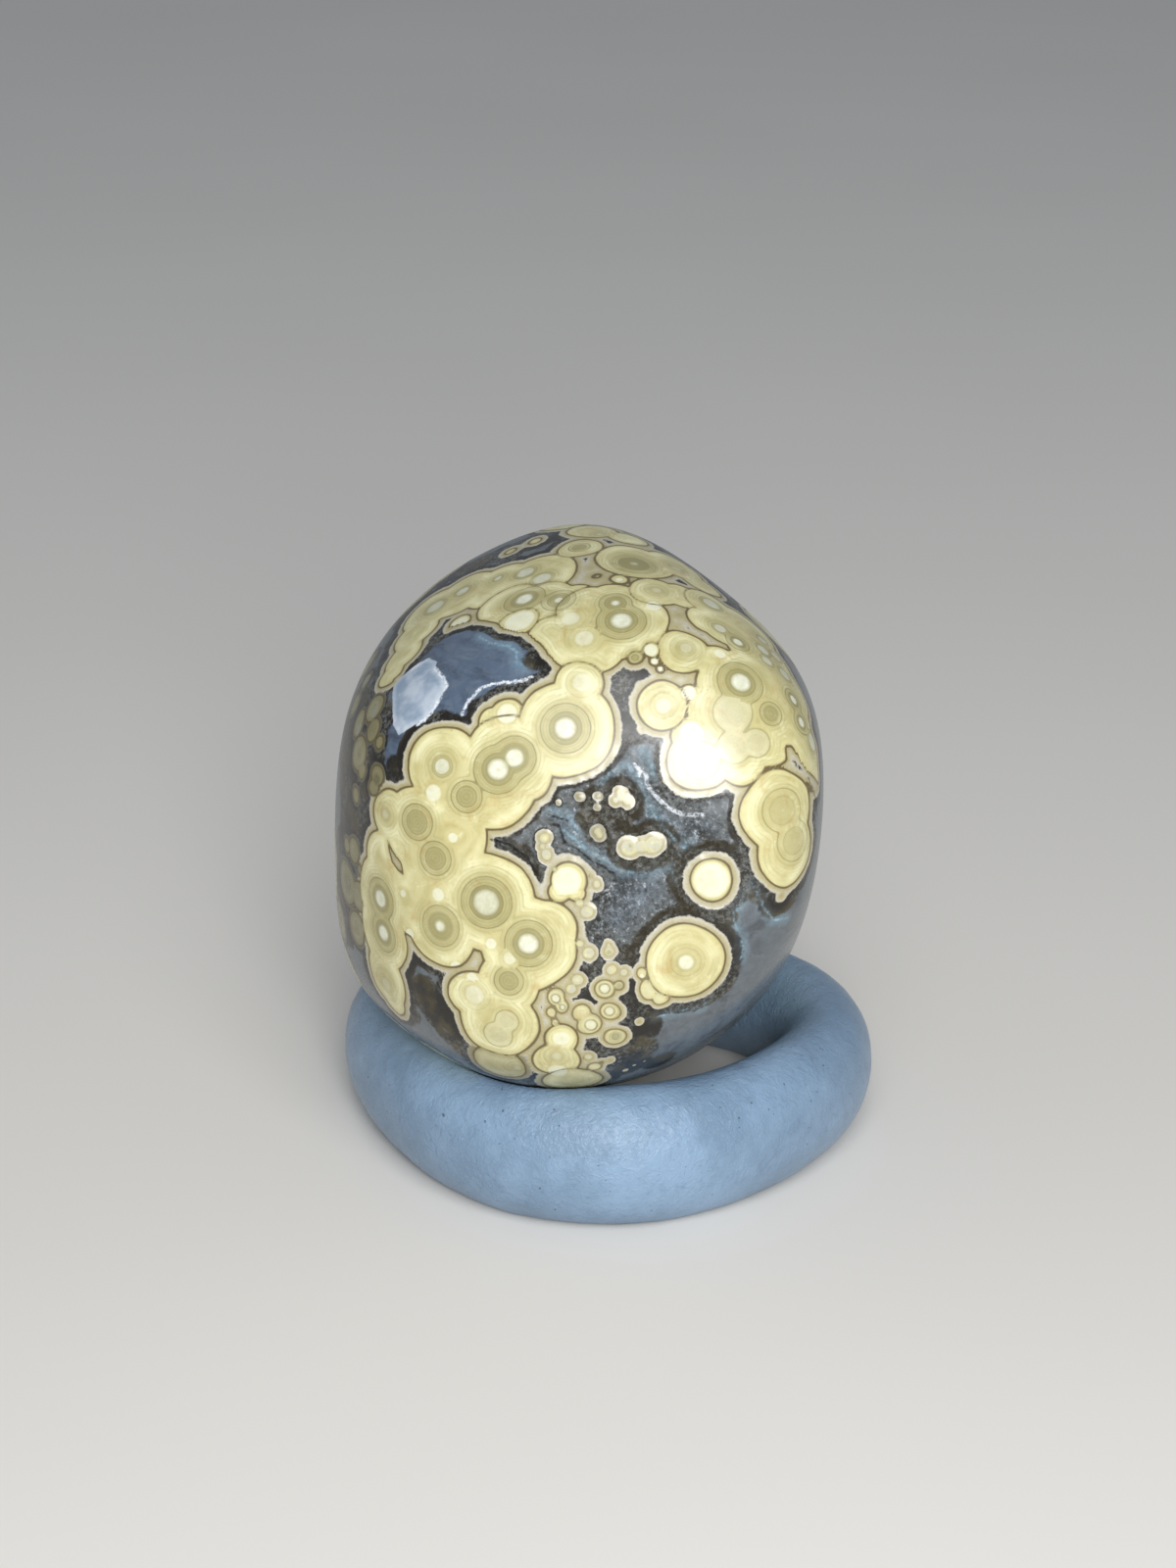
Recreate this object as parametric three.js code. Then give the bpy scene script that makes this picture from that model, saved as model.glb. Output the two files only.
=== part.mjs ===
// A polished eye agate standing in a small hand-formed ring. Millimetres, +Z up, front towards -Y.
import * as THREE from 'three';
import { mergeVertices } from 'three/addons/utils/BufferGeometryUtils.js';

// Ring stand: an upright oval section led round a slightly uneven circle, pressed flat underneath
const ringRadius = 11.05;
const ringHalfWidth = 2.73;
const ringHalfHeight = 3.4;
const ringPressed = 0.35;
const ringSectionSteps = 20;
const ringTurnSteps = 60;
// How far hand forming moved the ring's middle line out (mm), by waves round the ring
const ringWaves = [
  { waves: 2, cosine: 0.0, sine: -0.33 },
  { waves: 3, cosine: 0.32, sine: 0.49 },
];
const ringWidthLean = { cosine: -0.16, sine: -0.04 };
const ringHeightLean = { cosine: -0.06, sine: -0.23 };

// Stone: a pebble between ground flats, each with the way it faces (degrees from the front towards
// the right, then degrees up) and its distance from the stone's middle (mm)
const stoneFlats = {
  front: [-1, 14, 11.3],
  frontLeft: [-49, -3, 12.9],
  left: [-85, 4, 13.3],
  leftTop: [-91, 40, 17.4],
  topLeft: [-82, 63, 13.3],
  top: [20, 82, 19.5],
  topRight: [100, 53, 13.6],
  right: [87, -2, 11.9],
  frontRight: [49, 1, 19.2],
  bottomRight: [63, -41, 13.0],
  bottomLeft: [-69, -62, 14.0],
  frontBottom: [9, -30, 15.0],
  bottom: [-2, -82, 13.8],
  frontTop: [-6, 57, 14.6],
  back: [187, 5, 11.6],
  backTop: [182, 39, 18.8],
  backBottom: [191, -35, 13.6],
  backLeft: [-127, -4, 12.6],
  backRight: [142, 10, 12.4],
};
// A higher number leaves narrower rounding between the flats
const stoneEdgeSharpness = 6.8;
const stoneDetail = 12;
// The stone's middle, counted from the ring's middle on the surface that the ring stands on
const stonePlace = new THREE.Vector3(-1.18, -2.08, 17.1);
// The stone has pressed a shallow seat in the ring, and this gap is left between them
const seatGap = 0.3;

const stoneMaterial = new THREE.MeshStandardMaterial({ color: 0xa39a5c, roughness: 0.25, metalness: 0 });
const ringMaterial = new THREE.MeshStandardMaterial({ color: 0x5f7387, roughness: 0.5, metalness: 0 });

function joined(geometry) {
  geometry.deleteAttribute('normal');
  geometry.deleteAttribute('uv');
  const closed = mergeVertices(geometry, 1e-4);
  closed.computeVertexNormals();
  return closed;
}

function moveVertices(geometry, move) {
  const position = geometry.attributes.position;
  const point = new THREE.Vector3();
  for (let i = 0; i < position.count; i += 1) {
    point.fromBufferAttribute(position, i);
    move(point);
    position.setXYZ(i, point.x, point.y, point.z);
  }
  return geometry;
}

function facing(azimuth, elevation) {
  const turn = THREE.MathUtils.degToRad(azimuth);
  const rise = THREE.MathUtils.degToRad(elevation);
  return new THREE.Vector3(
    Math.sin(turn) * Math.cos(rise), -Math.cos(turn) * Math.cos(rise), Math.sin(rise));
}

// The stone's surface along a direction: every flat counts, and the nearest one counts most
function stoneReach(direction, flats) {
  let sum = 0;
  for (const { normal, distance } of flats) {
    sum += Math.max(normal.dot(direction) / distance, 0) ** stoneEdgeSharpness;
  }
  return sum ** (-1 / stoneEdgeSharpness);
}

function makeStone(flats) {
  const geometry = moveVertices(new THREE.IcosahedronGeometry(1, stoneDetail), (point) => {
    point.normalize();
    point.multiplyScalar(stoneReach(point, flats));
  });
  const stone = new THREE.Mesh(joined(geometry), stoneMaterial);
  stone.name = 'eye_agate';
  stone.position.copy(stonePlace);
  return stone;
}

function wave(list, angle) {
  let sum = 0;
  for (const { waves, cosine, sine } of list) {
    sum += cosine * Math.cos(waves * angle) + sine * Math.sin(waves * angle);
  }
  return sum;
}

function lean({ cosine, sine }, angle) {
  return cosine * Math.cos(angle) + sine * Math.sin(angle);
}

// A point of the ring that the stone reaches moves out to the gap from the stone's surface
function pressSeat(point, flats) {
  const arm = point.clone().sub(stonePlace);
  const reach = stoneReach(arm.clone().normalize(), flats) + seatGap;
  if (arm.length() < reach) point.copy(stonePlace).add(arm.setLength(reach));
}

function makeRing(flats) {
  const section = [];
  for (let i = 0; i <= ringSectionSteps; i += 1) {
    const turn = (2 * Math.PI * (i % ringSectionSteps)) / ringSectionSteps;
    section.push(new THREE.Vector2(ringRadius + Math.cos(turn), Math.sin(turn)));
  }
  const geometry = new THREE.LatheGeometry(section, ringTurnSteps);
  geometry.rotateX(Math.PI / 2);
  moveVertices(geometry, (point) => {
    const angle = Math.atan2(point.y, point.x);
    const across = Math.hypot(point.x, point.y) - ringRadius;
    const halfWidth = ringHalfWidth + lean(ringWidthLean, angle);
    const halfHeight = ringHalfHeight + lean(ringHeightLean, angle);
    const radius = ringRadius + wave(ringWaves, angle) + across * halfWidth;
    const height = Math.max(halfHeight * (1 + point.z) - ringPressed, 0);
    point.set(radius * Math.cos(angle), radius * Math.sin(angle), height);
    pressSeat(point, flats);
  });
  const ring = new THREE.Mesh(joined(geometry), ringMaterial);
  ring.name = 'ring_stand';
  return ring;
}

const flats = Object.values(stoneFlats).map(
  ([azimuth, elevation, distance]) => ({ normal: facing(azimuth, elevation), distance }));
const group = new THREE.Group();
group.add(makeStone(flats), makeRing(flats));

// The origin is under the middle of the whole object, on the surface that it stands on
group.updateMatrixWorld(true);
const middle = new THREE.Box3().setFromObject(group, true).getCenter(new THREE.Vector3());
group.position.set(-middle.x, -middle.y, 0);

export default group;
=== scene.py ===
import math
import random

import bpy
import numpy as np
from mathutils import Matrix, Vector


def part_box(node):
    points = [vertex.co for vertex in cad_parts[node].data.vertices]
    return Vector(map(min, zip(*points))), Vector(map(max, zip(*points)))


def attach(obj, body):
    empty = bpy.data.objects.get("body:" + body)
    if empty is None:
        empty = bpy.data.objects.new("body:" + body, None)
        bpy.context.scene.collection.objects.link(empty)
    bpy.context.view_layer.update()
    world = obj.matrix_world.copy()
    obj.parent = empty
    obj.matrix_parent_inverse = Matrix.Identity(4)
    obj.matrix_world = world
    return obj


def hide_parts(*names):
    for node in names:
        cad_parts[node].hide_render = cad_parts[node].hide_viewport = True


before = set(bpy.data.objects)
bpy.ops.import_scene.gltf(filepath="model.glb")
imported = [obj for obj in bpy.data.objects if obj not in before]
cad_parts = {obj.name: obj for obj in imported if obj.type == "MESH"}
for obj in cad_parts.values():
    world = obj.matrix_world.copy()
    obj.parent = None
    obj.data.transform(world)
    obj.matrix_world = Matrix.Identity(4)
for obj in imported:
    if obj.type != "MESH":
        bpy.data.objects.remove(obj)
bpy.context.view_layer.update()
mm = 0.001
print("loaded the frame:", sorted(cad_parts))

# The photograph's camera, in mm and degrees. The focal length is chosen, and the rest fits the ring's
# outline with it
photoCamera = {
    "place": (-1.13, -161.21, 81.65),
    "pitch": 21.4,
    "roll": 0.4,
    "focalPixels": 3500.0,
    "imageSize": (1200, 1600),
    "sensorSize": 36.0,
    "raySteps": (145.0, 186.0, 0.25),     # mm from the camera: the nearest, the farthest and the step
}

# The stone: a pebble between ground flats (degrees from the front towards the right, degrees up, mm)
stone = {
    "place": (-1.258, -1.625, 17.1),
    "edgeSharpness": 6.8,
    "flats": {
        "front": (-1, 14, 11.3),
        "frontLeft": (-49, -3, 12.9),
        "left": (-85, 4, 13.3),
        "leftTop": (-91, 40, 17.4),
        "topLeft": (-82, 63, 13.3),
        "top": (20, 82, 19.5),
        "topRight": (100, 53, 13.6),
        "right": (87, -2, 11.9),
        "frontRight": (49, 1, 19.2),
        "bottomRight": (63, -41, 13.0),
        "bottomLeft": (-69, -62, 14.0),
        "frontBottom": (9, -30, 15.0),
        "bottom": (-2, -82, 13.8),
        "frontTop": (-6, 57, 14.6),
        "back": (187, 5, 11.6),
        "backTop": (182, 39, 18.8),
        "backBottom": (191, -35, 13.6),
        "backLeft": (-127, -4, 12.6),
        "backRight": (142, 10, 12.4),
    },
    "meshSteps": 125,          # along each side of the six patches of the mesh
    "frontDensity": 0.35,      # draws the mesh towards the side that the photograph shows
    "underCadSkin": 0.012,     # mm
    "crystalHollows": 0.06,    # mm
    "hollowLengths": (0.9, 0.45),
    "waviness": 0.045,         # how far the outlines wander, and over what length, in mm
    "wavinessLength": 2.8,
    "eyeBlend": 0.4,           # mm over which the rings of close eyes run into one
}

# Where the banded bodies grew. A lobe is a photo pixel and a radius in mm, an eye is a photo pixel, the
# radius of its ring in mm and a look. Later bodies grew over earlier ones.
bodies = {
    "farTop": {
        "lobes": {"crest": (604, 541, 1.3), "right": (640, 549, 1.0), "far": (575, 536, 1.2)},
        "eyes": {"crest": (612, 545, 0.5, "faint")},
    },
    "streakLenses": {
        "lobes": {"left": (521, 562, 0.3), "right": (545, 552, 0.35)},
        "eyes": {},
    },
    "topBand": {
        "lobes": {
            "ridge": (548, 587, 2.1), "ridgeMiddle": (508, 597, 2.0), "ridgeLeft": (472, 606, 2.0),
            "shoulder": (443, 620, 1.85), "arm": (424, 646, 1.35), "foot": (411, 668, 1.15),
            "toe": (399, 687, 0.8),
        },
        "eyes": {
            "twinLeft": (536, 584, 0.62, "bead"), "twinRight": (553, 590, 0.64, "bead"),
            "small": (508, 590, 0.3, "bead"), "middle": (472, 603, 0.5, "bead"),
            "left": (444, 619, 0.68, "bead"),
        },
    },
    "wedgeTop": {
        "lobes": {"left": (520, 617, 1.7), "middle": (552, 613, 1.7), "right": (582, 612, 1.3)},
        "eyes": {"left": (535, 611, 1.05, "target"), "right": (570, 612, 0.85, "bull")},
    },
    "lens": {
        "lobes": {"lens": (469, 635, 0.62)},
        "eyes": {"lens": (469, 635, 0.5, "pearl")},
    },
    "middle": {
        "lobes": {
            "left": (562, 645, 1.15), "leftLow": (575, 662, 0.85), "centre": (590, 650, 1.8),
            "low": (605, 655, 1.7), "ring": (634, 633, 2.3), "top": (628, 615, 1.6),
            "topLeft": (600, 618, 1.5),
        },
        "eyes": {
            "ring": (634, 633, 1.2, "target"), "high": (628, 615, 0.8, "bull"),
            "edge": (667, 618, 0.4, "pearl"), "pale": (582, 631, 0.75, "milky"),
            "paleLow": (596, 651, 0.75, "milky"),
        },
    },
    "wedge": {
        "lobes": {"wedge": (530, 634, 0.95)},
        "eyes": {"wedge": (530, 633, 0.8, "pearl")},
    },
    "crown": {
        "lobes": {"middle": (648, 572, 2.0), "right": (688, 577, 1.6), "far": (715, 596, 1.1)},
        "eyes": {"middle": (647, 575, 1.2, "deep"), "right": (690, 580, 0.7, "faint")},
    },
    "crownDisc": {
        "lobes": {"disc": (591, 559, 1.1)},
        "eyes": {"disc": (591, 558, 0.55, "disc")},
    },
    "crownCrumbs": {
        "tight": 0.45,
        "lobes": {
            "eye": (632, 591, 0.4), "dot": (609, 588, 0.16), "fill": (602, 579, -0.15),
            "fillLow": (618, 596, -0.1), "gap": (692, 628, -0.1), "gapTop": (697, 620, -0.1),
            "gapLow": (691, 640, -0.15), "far": (655, 557, -0.2),
        },
        "eyes": {"eye": (632, 591, 0.2, "pearl")},
    },
    "saddle": {
        "lobes": {"left": (668, 603, 1.3), "right": (697, 608, 1.2)},
        "eyes": {"left": (670, 602, 0.6, "faint")},
    },
    "rightField": {
        "lobes": {
            "top": (726, 617, 1.4), "topLeft": (722, 632, 1.1), "topMiddle": (747, 641, 1.9),
            "disc": (697, 664, 1.2), "neck": (733, 678, 1.1), "rings": (747, 700, 1.75),
            "left": (741, 725, 1.8), "dot": (703, 707, 0.4), "blobTop": (706, 751, 0.95),
            "blob": (715, 775, 1.5), "low": (757, 772, 1.35), "middle": (762, 742, 2.0),
            "lowRight": (783, 760, 1.2), "right": (788, 733, 2.0), "upper": (776, 700, 2.3),
            "upperRight": (776, 664, 2.2), "high": (762, 640, 1.8), "edgeHigh": (802, 700, 2.0),
            "edge": (812, 735, 1.7), "edgeLow": (826, 765, 1.3), "edgeMiddle": (806, 747, 1.3),
            "highEdge": (785, 645, 1.6), "farEdge": (830, 790, 0.9),
        },
        "eyes": {
            "rings": (756, 696, 1.15, "target"), "disc": (748, 727, 0.95, "pale"),
            "paleLow": (749, 762, 0.8, "pale"), "paleRight": (772, 758, 0.68, "pale"),
            "olive": (787, 728, 0.6, "disc"), "high": (753, 655, 0.65, "target"),
            "highest": (726, 616, 0.65, "bead"), "blue": (735, 641, 0.45, "bead"),
            "groupLeft": (779, 663, 0.5, "bead"), "groupLow": (783, 674, 0.45, "bead"),
            "groupTop": (778, 653, 0.4, "bead"), "groupRight": (792, 670, 0.45, "bead"),
            "groupEnd": (801, 688, 0.5, "bead"), "edgeHigh": (810, 714, 0.62, "target"),
            "edge": (818, 737, 0.62, "target"), "edgeLow": (829, 757, 0.6, "bead"),
            "tan": (700, 661, 0.75, "faint"), "dot": (703, 707, 0.36, "pearl"),
            # The white middles of the eyes glare and glareTop are partly painted highlight, where the main
            # light is mirrored
            "soft": (735, 667, 0.3, "pearl"), "glare": (715, 776, 0.9, "pale"),
            "glareTop": (705, 748, 0.6, "pearl"), "farTop": (760, 625, 0.5, "faint"),
        },
    },
    "rightPair": {
        "lobes": {"upper": (797, 829, 1.95), "lower": (806, 868, 1.72)},
        "eyes": {"upper": (799, 827, 1.05, "rings"), "lower": (811, 858, 1.0, "rings")},
    },
    "rightTip": {
        "lobes": {"tip": (798, 913, 0.02)},
        "eyes": {},
    },
    "neckCrumbs": {
        "lobes": {
            "tan": (648, 671, 0.35), "cream": (664, 663, 0.42), "dot": (667, 675, 0.27),
            "dotLow": (673, 683, 0.25), "crust": (690, 690, -0.05), "crustRight": (703, 694, -0.05),
            "crustLow": (655, 745, -0.12), "left": (655, 700, -0.1), "lowRight": (692, 740, -0.1),
        },
        "eyes": {"cream": (664, 663, 0.35, "pearl"), "dot": (667, 675, 0.25, "pearl"),
                 "dotLow": (673, 683, 0.23, "pearl"), "tan": (648, 671, 0.3, "tan")},
    },
    "neckDisc": {
        "lobes": {"disc": (676, 720, 1.17)},
        "eyes": {"disc": (677, 720, 0.62, "milky")},
    },
    "halfDisc": {
        "lobes": {"disc": (517, 730, 0.8), "left": (504, 737, 0.75), "right": (526, 735, 0.7)},
        "eyes": {"disc": (517, 728, 0.5, "pearl")},
    },
    "lowShadow": {
        # This body's darkening share is partly painted shade at the underside
        "dull": 0.5,
        "lobes": {"left": (509, 1086, 1.3)},
        "eyes": {"left": (528, 1090, 0.5, "faint")},
    },
    "leftFlank": {
        # The flank's narrow rims and darkening share make it darker, mostly as painted shade where it faces
        # away from the light
        "tight": 2.4,
        "dull": 0.85,
        "lobes": {
            "lens": (375, 679, 0.75), "lensLow": (374, 694, 0.5), "main": (382, 722, 0.75),
            "mainLow": (381, 744, 0.6), "mainFoot": (388, 757, 0.35), "side": (366, 738, 0.7),
            "sideTop": (362, 719, 0.6), "dull": (366, 768, 0.9), "dullLow": (369, 786, 0.45),
            "bean": (384, 791, 0.5), "beanLow": (381, 804, 0.4), "grey": (363, 811, 0.4),
            "low": (361, 867, 0.65), "lowFar": (354, 862, 0.4), "lowBig": (354, 900, 1.15),
            "lowest": (347, 938, 1.1), "near": (367, 888, 0.3), "join": (366, 915, 0.9),
            "joinLow": (364, 948, 0.9),
        },
        "eyes": {
            "main": (382, 726, 0.35, "pearl"), "lens": (375, 692, 0.4, "pearl"),
            "side": (366, 744, 0.35, "pearl"), "bean": (384, 795, 0.3, "tan"),
            "lowBig": (355, 900, 0.6, "faint"),
        },
    },
    "leftField": {
        "lobes": {
            "brow": (577, 743, 2.3), "browTop": (591, 697, 1.15), "browFill": (588, 713, 1.1),
            "bridge": (530, 785, 1.6), "pairTop": (518, 775, 2.1), "pairLow": (500, 800, 2.15),
            "upperLeft": (451, 781, 1.8), "knot": (470, 812, 1.8), "leftUpper": (425, 839, 1.8),
            "leftEdge": (398, 832, 1.3), "middle": (444, 876, 2.1), "middleHigh": (460, 853, 1.9),
            "leftMiddle": (394, 882, 1.7), "bottomLeft": (388, 917, 2.0), "bottomLeftLow": (390, 953, 1.95),
            "lowLeft": (394, 998, 1.6), "lowLeftTip": (401, 1018, 0.95), "fill": (424, 918, 2.0),
            "bigEye": (496, 921, 2.35), "lowRight": (539, 964, 2.3), "lowRightTop": (557, 950, 1.5),
            "lowMiddle": (449, 945, 2.0), "lowFill": (519, 1001, 1.55), "tail": (483, 1015, 1.3),
            "tailLow": (508, 1043, 1.95),
        },
        "eyes": {
            "brow": (577, 743, 1.18, "target"), "browTop": (594, 696, 0.75, "milky"),
            "pairLow": (508, 785, 1.16, "target"), "pairHigh": (525, 773, 1.02, "target"),
            "knot": (476, 813, 0.76, "disc"), "upperLeft": (451, 782, 0.52, "bead"),
            "olive": (425, 839, 0.88, "disc"), "oliveLow": (444, 876, 0.83, "disc"),
            "spot": (462, 855, 0.25, "pearl"), "blot": (442, 809, 0.42, "pearl"),
            "big": (496, 921, 1.25, "broad"), "small": (449, 945, 1.02, "bull"),
            "lowRight": (539, 963, 1.14, "target"), "spotLow": (501, 963, 0.28, "pearl"),
            "blotLow": (520, 978, 0.5, "milky"), "last": (519, 1001, 0.72, "disc"),
            "leftTwin": (388, 917, 1.05, "target"), "leftTwinLow": (391, 952, 0.98, "target"),
            "leftFaint": (393, 831, 0.6, "faint"), "crumb": (411, 912, 0.2, "pearl"),
            "crumbLow": (418, 953, 0.28, "pearl"), "streak": (447, 913, 0.34, "pearl"),
            "tail": (484, 1015, 0.8, "milky"), "doubleLeft": (508, 1056, 0.72, "pale"),
            "doubleRight": (517, 1042, 0.58, "pale"), "patch": (466, 989, 0.4, "pearl"),
            "patchLow": (482, 998, 0.3, "pearl"), "lowLeft": (394, 1005, 0.9, "faint"),
        },
    },
    "creamPatch": {
        "lobes": {"main": (580, 897, 0.84), "left": (571, 909, 0.55), "low": (587, 910, 0.42)},
        "eyes": {"main": (578, 899, 0.7, "pearl")},
    },
    "paleCrumbs": {
        "tight": 1.9,
        "pale": 1.0,
        "lobes": {
            "ovalTop": (555, 857, 0.26), "ovalMiddle": (553, 865, 0.16), "ovalLow": (557, 873, 0.26),
            "grey": (609, 901, 0.22), "greyTop": (603, 893, 0.12), "greyLeft": (565, 886, 0.12),
            "left": (597, 930, 0.32), "leftTop": (590, 921, 0.2), "leftMiddle": (600, 972, 0.30),
            "leftHigh": (592, 962, 0.2), "leftLow": (589, 1001, 0.30), "leftFoot": (583, 1011, 0.26),
            "seed": (622, 971, 0.26), "seedTop": (622, 965, 0.14), "budTop": (624, 990, 0.26),
            "budTopRight": (636, 994, 0.20), "speck": (651, 1042, 0.08), "footTop": (601, 1078, 0.22),
            "footRight": (622, 1082, 0.10), "twig": (648, 1087, -0.06), "twigLow": (638, 1092, -0.02),
            "twigRight": (658, 1083, -0.08), "starTop": (633, 810, 0.22), "starLeft": (627, 818, 0.18),
            "starRight": (639, 819, 0.20), "starFill": (633, 815, 0.22),
            "doubleLeft": (642, 863, 0.44), "doubleRight": (667, 861, 0.46), "doubleMiddle": (655, 861, 0.34),
        },
        "eyes": {
            "doubleLeft": (642, 864, 0.20, "tan"), "doubleRight": (669, 864, 0.16, "tan"),
            "seed": (622, 972, 0.1, "tan"),
        },
    },
    "greyPebbles": {
        "tight": 2.4,
        "pale": 1.0,
        "dull": 0.35,
        "lobes": {
            "upper": (609, 814, 0.10), "low": (608, 825, 0.04), "pebble": (610, 849, 0.20),
            "pebbleLow": (612, 853, 0.16), "chip": (593, 814, 0.10), "chipLow": (570, 819, 0.04),
        },
        "eyes": {},
    },
    "crumbs": {
        "tight": 1.4,
        "pale": 0.3,
        "lobes": {
            "crust": (568, 1018, 0.42), "crustLow": (574, 1027, 0.32), "crustLeft": (562, 1032, 0.26),
            "crustFoot": (566, 1042, 0.22), "oliveFill": (594, 1034, 0.42), "bud": (617, 1009, 0.48),
            "budRight": (631, 1006, 0.22), "bead": (622, 1032, 0.46), "drop": (603, 1046, 0.56),
            "olive": (628, 1058, 0.50), "foot": (606, 1088, 0.32), "footRight": (613, 1084, 0.1),
            "loneStalk": (663, 1010, 0.52), "loneStalkTop": (655, 995, 0.28),
            "loneStalkLow": (676, 1018, 0.44),
        },
        "eyes": {
            "bud": (617, 1009, 0.26, "bud"), "bead": (622, 1032, 0.24, "bud"),
            "drop": (603, 1046, 0.30, "bud"), "olive": (628, 1058, 0.30, "tan"),
            "budRight": (632, 1006, 0.14, "tan"), "crust": (567, 1019, 0.22, "bud"),
            "crustLow": (574, 1028, 0.14, "bud"), "loneStalk": (655, 996, 0.13, "pearl"),
        },
    },
    "foot": {
        "lobes": {"top": (573, 1060, 0.9), "middle": (568, 1082, 1.15)},
        "eyes": {
            "top": (573, 1060, 0.4, "pearl"), "middle": (568, 1078, 0.6, "faint"),
            "low": (569, 1093, 0.5, "pearl"),
        },
    },
    "footLow": {
        # This body's darkening share is partly painted shade at the underside
        "dull": 0.3,
        "lobes": {"low": (584, 1104, 1.45)},
        "eyes": {},
    },
    "loneSmall": {
        "lobes": {"disc": (726, 898, 1.02)},
        "eyes": {"disc": (726, 898, 0.9, "pearl")},
    },
    "loneLarge": {
        "lobes": {"disc": (700, 982, 1.88)},
        "eyes": {"disc": (700, 982, 0.72, "milkBull")},
    },
}

# An eye's look: its pale middle as a share of its ring, and how white that is, how olive the eye is, how
# strong its ring's line is
eyeLooks = {
    "target": (0.42, 0.95, 0.80, 1.00),
    "bull": (0.27, 0.90, 0.75, 0.90),
    "broad": (0.50, 0.70, 1.00, 1.00),
    "deep": (0.16, 0.60, 1.00, 0.25),
    "disc": (0.00, 0.00, 0.70, 1.00),
    "rings": (0.12, 0.15, 0.35, 0.80),
    "pale": (0.98, 0.22, 0.30, 0.55),
    "bead": (0.72, 0.70, 0.90, 0.60),
    "milky": (0.62, 0.55, 0.10, 0.25),
    "milkBull": (0.52, 0.80, 0.22, 0.35),
    "pearl": (0.95, 0.75, 0.00, 0.00),
    "faint": (0.40, 0.30, 0.35, 0.30),
    "tan": (0.00, 0.00, 0.90, 0.30),
    "bud": (0.85, 0.55, 0.30, 1.60),
}

# The pocket of clear agate: its outline where the banded bodies round it end, and what shows in it
agatePocket = {
    "cuts": ("topBand", "wedgeTop", "middle", "wedge", "lens"),
    "outline": [
        (401, 692), (415, 681), (430, 664), (434, 651), (453, 644), (484, 633), (509, 635), (516, 641),
        (538, 644), (550, 656), (557, 668), (569, 679), (567, 697), (560, 720), (500, 750), (430, 790),
        (404, 800), (392, 794), (394, 760), (397, 720),
    ],
    "quartz": [
        (437, 671), (446, 675), (444, 681), (453, 693), (457, 699), (451, 708), (444, 722), (435, 733),
        (419, 743), (407, 750), (401, 740), (400, 716), (401, 699), (410, 690), (423, 679),
    ],
}
edgePocket = {
    "cuts": ("rightField",),
    "outline": [
        (800, 762), (807, 762), (812, 767), (828, 792), (837, 806), (831, 812), (824, 800), (816, 793),
        (803, 781),
    ],
}
leftSliver = {
    "cuts": ("leftField",),
    "outline": [(395, 857), (400, 868), (409, 880), (412, 893), (406, 888), (399, 879), (396, 866)],
}

# Where the clear agate is black or dark brown further out than the margins, and where the spots on the left
# flank add painted shade: photo pixel, radius in mm
darkSpots = {
    "neckTop": (630, 688, 0.8), "neckTopRight": (650, 689, 0.6), "neck": (634, 706, 0.9),
    "neckMiddle": (633, 722, 0.8), "neckLow": (641, 738, 0.7), "neckFoot": (646, 750, 0.5),
    "pocketRight": (549, 672, 0.75), "pocketFoot": (404, 786, 0.8), "pocketLow": (452, 733, 0.5),
    "loneSmall": (725, 899, 1.95), "loneLarge": (701, 983, 2.8), "between": (727, 935, 1.0),
    "olive": (744, 934, 0.5), "pairSide": (763, 862, 0.7), "pairLow": (768, 884, 0.8),
    "pairFoot": (776, 907, 0.75), "tip": (790, 921, 0.85), "tipRight": (806, 916, 0.7),
    "edge": (829, 826, 0.5), "double": (643, 864, 1.15), "doubleRight": (667, 861, 1.25),
    "doubleLow": (656, 874, 0.9), "star": (633, 817, 1.15), "starLeft": (611, 820, 0.85),
    "starLow": (612, 843, 0.9), "starFoot": (626, 850, 0.6), "starFar": (598, 834, 0.5),
    "crumbs": (647, 1024, 1.05), "crumbsLow": (658, 1047, 1.0), "crumbsFoot": (640, 1086, 1.3),
    "crumbsLeft": (606, 1070, 0.7), "crumbsTop": (600, 989, 0.7), "crumbsRight": (674, 1083, 0.9),
    "crumbsNeck": (640, 975, 0.5), "crumbsGap": (655, 1070, 0.8), "gap": (436, 1018, 1.15),
    "gapMiddle": (447, 1036, 1.1), "gapLow": (458, 1054, 0.9), "gapLeft": (418, 1032, 0.8),
    "gapFoot": (470, 1072, 0.6), "streak": (455, 592, 0.7), "streakLow": (472, 583, 0.9),
    "streakMiddle": (492, 573, 1.0), "streakHigh": (512, 564, 1.0), "streakTop": (533, 556, 1.0),
    "streakFar": (553, 551, 0.9), "streakEnd": (575, 546, 0.9), "streakTip": (600, 548, 0.7),
    "streakLast": (612, 551, 0.4), "arm": (412, 632, 0.8), "armMiddle": (405, 648, 0.9),
    "armLow": (398, 664, 0.8), "armFoot": (391, 680, 0.7), "crown": (652, 555, 0.4),
    "notch": (522, 860, 0.35), "notchMiddle": (532, 869, 0.45), "notchLow": (541, 881, 0.4),
    # The flank spots are partly painted shade, darkening the left flank that faces away from the light
    "notchFoot": (548, 891, 0.3), "flankTop": (390, 700, 0.9), "flank": (393, 730, 0.9),
    "flankMiddle": (376, 765, 1.6), "flankHigh": (368, 735, 2.2), "flankLow": (372, 805, 1.8),
    "flankFar": (358, 780, 2.6), "flankFoot": (362, 840, 2.6), "flankEnd": (352, 890, 2.4),
    "flankLast": (350, 930, 1.8), "flankBack": (356, 740, 2.4),
}
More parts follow.
